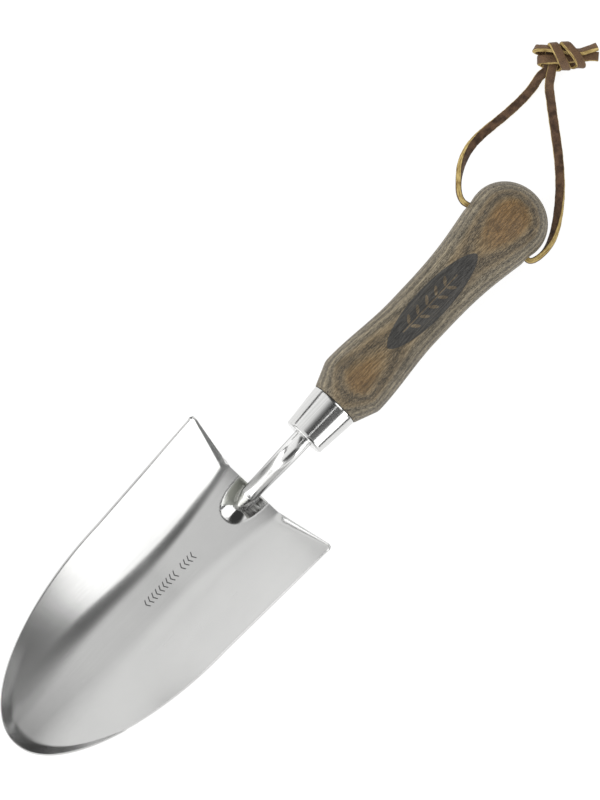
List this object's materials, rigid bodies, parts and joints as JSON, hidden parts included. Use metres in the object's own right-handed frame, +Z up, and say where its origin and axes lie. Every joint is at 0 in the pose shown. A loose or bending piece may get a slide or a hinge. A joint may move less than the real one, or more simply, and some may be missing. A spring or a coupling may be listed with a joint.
{
  "type": "hand trowel",
  "caption": "Garden hand trowel: dished stainless blade, swan neck, tapered ferrule, turned ash handle and a knotted leather hanging thong.",
  "frame": {"origin": "middle of the tool without its thong, on the surface it lies on", "axes": "+X from the blade's tip to the butt of the handle, +Z up out of the blade's hollow, +Y to the left of someone looking along +X"},
  "size_m": [0.4159, 0.0914, 0.0463],
  "materials": {
    "satin_stainless": "stainless steel, satin",
    "polished_stainless": "stainless steel, polished",
    "smoked_ash": "ash, stained grey-brown, semi-gloss",
    "brown_leather": "brown lace with raw tan edges"
  },
  "bodies": {
    "tool": {"blade": "satin_stainless", "neck_and_tang": "polished_stainless", "weld_bead": "polished_stainless", "ferrule": "polished_stainless", "handle": "smoked_ash"},
    "thong_loop": {"thong": "brown_leather", "thong_knot": "brown_leather"}
  },
  "joints": [
    {"name": "thong_swing", "type": "hinge", "parent": "tool", "child": "thong_loop", "pos_m": [0.14863, 0, 0.0197], "axis": [0, 1, 0], "range_deg": [-172, 138]}
  ]
}
